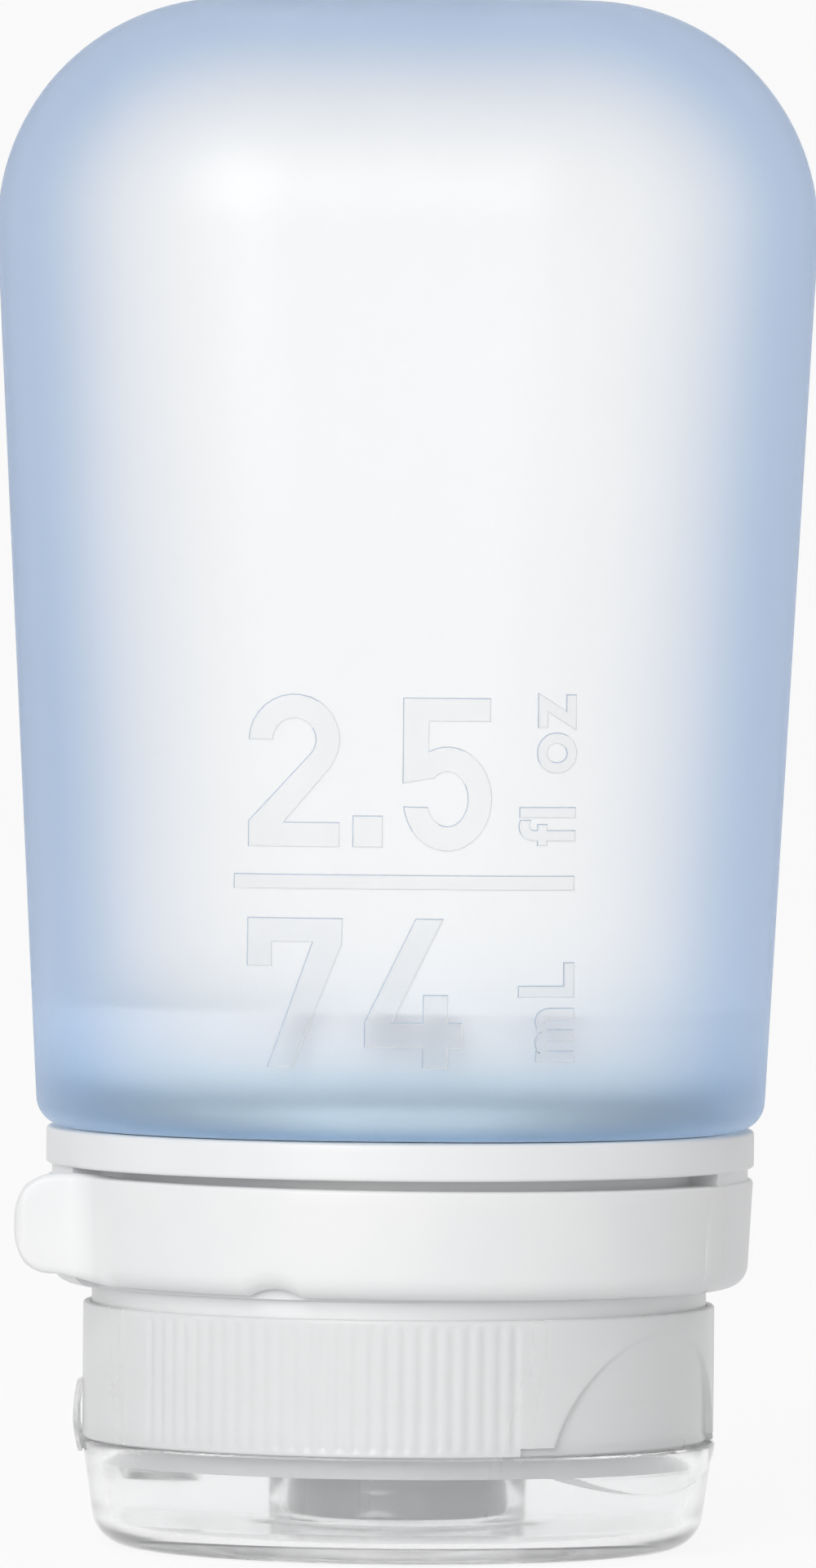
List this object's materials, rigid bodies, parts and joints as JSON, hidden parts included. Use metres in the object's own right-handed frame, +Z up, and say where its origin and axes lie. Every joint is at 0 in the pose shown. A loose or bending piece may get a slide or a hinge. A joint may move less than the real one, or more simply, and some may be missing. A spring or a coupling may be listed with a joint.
{
  "type": "silicone squeeze bottle",
  "caption": "Soft translucent squeeze bottle for travel, standing on its flip-top screw cap, with a white neck collar and a loop arm that swings out by a round pull tab.",
  "frame": {"origin": "middle of the flat face of the closed lid, on which the bottle stands", "axes": "+Z up through the bottle from lid to crown, -Y towards the face with the capacity marks, +X to that face's right"},
  "size_m": [0.0482, 0.0418, 0.091],
  "materials": {
    "soft_silicone": "frosted, translucent",
    "neck_plastic": "satin, translucent",
    "white_plastic": "satin",
    "white_arm_plastic": "satin",
    "cap_plastic": "gloss, translucent",
    "valve_silicone": "frosted, translucent",
    "retainer_plastic": "satin, translucent",
    "lid_plastic": "gloss, translucent",
    "strap_plastic": "gloss, translucent"
  },
  "bodies": {
    "bottle": {"bottle_body": "soft_silicone", "threaded_neck": "neck_plastic", "neck_collar": "white_plastic"},
    "loop": {"loop_arm": "white_arm_plastic"},
    "valve_unit": {"slit_valve": "valve_silicone", "valve_retainer": "retainer_plastic"},
    "cap": {"cap_base": "cap_plastic", "hinge_straps": "strap_plastic"},
    "lid": {"flip_lid": "lid_plastic"}
  },
  "joints": [
    {"name": "loop_swing", "type": "hinge", "parent": "bottle", "child": "loop", "pos_m": [0.01869, -0.00912, 0.01862], "axis": [0, 0, 1], "range_deg": [0, 100]},
    {"name": "cap_lift", "type": "slide", "parent": "bottle", "child": "valve_unit", "axis": [0, 0, -1], "range_m": [0, 0.009]},
    {"name": "cap_turn", "type": "hinge", "parent": "valve_unit", "child": "cap", "pos_m": [0, 0, 0.01], "axis": [0, 0, -1], "range_deg": [0, 1080]},
    {"name": "lid_open", "type": "hinge", "parent": "cap", "child": "lid", "pos_m": [-0.01607, 0.01051, 0.00632], "axis": [0.5476, 0.8368, 0], "range_deg": [0, 150], "deforming": ["hinge_straps"]}
  ],
  "couplings": [
    {"joint": "cap_lift", "follows": "cap_turn", "m_per_rad": 0.00047746}
  ]
}
